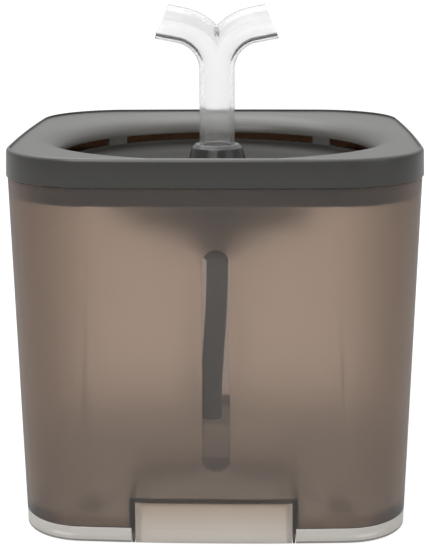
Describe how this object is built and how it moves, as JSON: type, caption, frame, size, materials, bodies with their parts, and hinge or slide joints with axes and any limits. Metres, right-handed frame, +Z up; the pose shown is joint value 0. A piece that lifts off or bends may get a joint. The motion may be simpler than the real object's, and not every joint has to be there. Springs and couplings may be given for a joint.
{
  "type": "pet water fountain",
  "caption": "Rounded-square pet water fountain: smoky tank with level window, bowl lid with drain slots and forked clear spout, inner filter and pump, on a clear tray.",
  "frame": {"origin": "centre of the bounding box on the table top, under the rubber feet", "axes": "+Z up; -Y is the front with the level window and the tab; +X to the right seen from the front"},
  "size_m": [0.191, 0.191, 0.2379],
  "materials": {
    "smoky_plastic": "frosted translucent, polished in the level window",
    "clear_tray_plastic": "milky translucent",
    "dark_grey_plastic": "satin",
    "dark_gloss_plastic": "glossy",
    "clear_plastic": "clear, polished",
    "hose_rubber": "satin",
    "pump_plastic": "satin",
    "dial_plastic": "satin",
    "black_rubber": "matt",
    "tray_rubber": "matt, translucent grey",
    "core_steel": "oxidised laminations",
    "coil_wire": "enamelled copper wire",
    "ferrite": "matt ferrite",
    "shaft_steel": "ground",
    "impeller_plastic": "satin",
    "filter_plastic": "satin",
    "carbon": "granular",
    "cotton": "felted fibre",
    "sponge": "open cell foam"
  },
  "bodies": {
    "base": {"base_tray": "clear_tray_plastic", "base_feet": "tray_rubber"},
    "tank": {"tank": "smoky_plastic"},
    "pump": {"volute": "pump_plastic", "volute_seal": "black_rubber", "pump_body": "pump_plastic", "motor_cap": "pump_plastic", "stator_core": "core_steel", "stator_coil": "coil_wire", "cord_gland": "black_rubber", "rotor_shaft": "shaft_steel", "front_bush": "black_rubber", "rear_bush": "black_rubber", "suction_cups": "black_rubber"},
    "rotor": {"impeller": "impeller_plastic", "rotor_magnet": "ferrite"},
    "intake": {"intake_cover": "pump_plastic", "intake_sponge": "sponge"},
    "dial": {"flow_dial": "dial_plastic", "flow_shutter": "dial_plastic"},
    "hose": {"riser_hose": "hose_rubber"},
    "filter_tray": {"filter_tray": "dark_grey_plastic"},
    "filter": {"filter_frame": "filter_plastic", "carbon_layer": "carbon", "cotton_pad": "cotton"},
    "lid": {"bowl_lid": "dark_grey_plastic"},
    "socket": {"spout_socket": "dark_gloss_plastic"},
    "spout": {"spout": "clear_plastic"}
  },
  "joints": [
    {"name": "tank_lift", "type": "slide", "parent": "base", "child": "tank", "axis": [0, 0, 1], "range_m": [0, 0.03]},
    {"name": "pump_lift", "type": "slide", "parent": "tank", "child": "pump", "axis": [0, 0, 1], "range_m": [0, 0.175]},
    {"name": "hose_pull", "type": "slide", "parent": "pump", "child": "hose", "axis": [0, 0, 1], "range_m": [0, 0.015]},
    {"name": "filter_tray_lift", "type": "slide", "parent": "hose", "child": "filter_tray", "axis": [0, 0, 1], "range_m": [0, 0.066]},
    {"name": "filter_lift", "type": "slide", "parent": "filter_tray", "child": "filter", "axis": [0, 0, 1], "range_m": [0, 0.04]},
    {"name": "lid_lift", "type": "slide", "parent": "filter", "child": "lid", "axis": [0, 0, 1], "range_m": [0, 0.05]},
    {"name": "socket_lift", "type": "slide", "parent": "lid", "child": "socket", "axis": [0, 0, 1], "range_m": [0, 0.045]},
    {"name": "spout_turn", "type": "hinge", "parent": "socket", "child": "spout", "pos_m": [0, 0, 0.162], "axis": [0, 0, 1], "continuous": true},
    {"name": "impeller_spin", "type": "hinge", "parent": "pump", "child": "rotor", "pos_m": [0.0026, -0.007, 0.0193], "axis": [1, 0, 0], "continuous": true},
    {"name": "intake_pull", "type": "slide", "parent": "pump", "child": "intake", "axis": [-1, 0, 0], "range_m": [0, 0.012]},
    {"name": "dial_turn", "type": "hinge", "parent": "intake", "child": "dial", "pos_m": [-0.0168, -0.007, 0.0193], "axis": [1, 0, 0], "range_deg": [0, 60]}
  ]
}
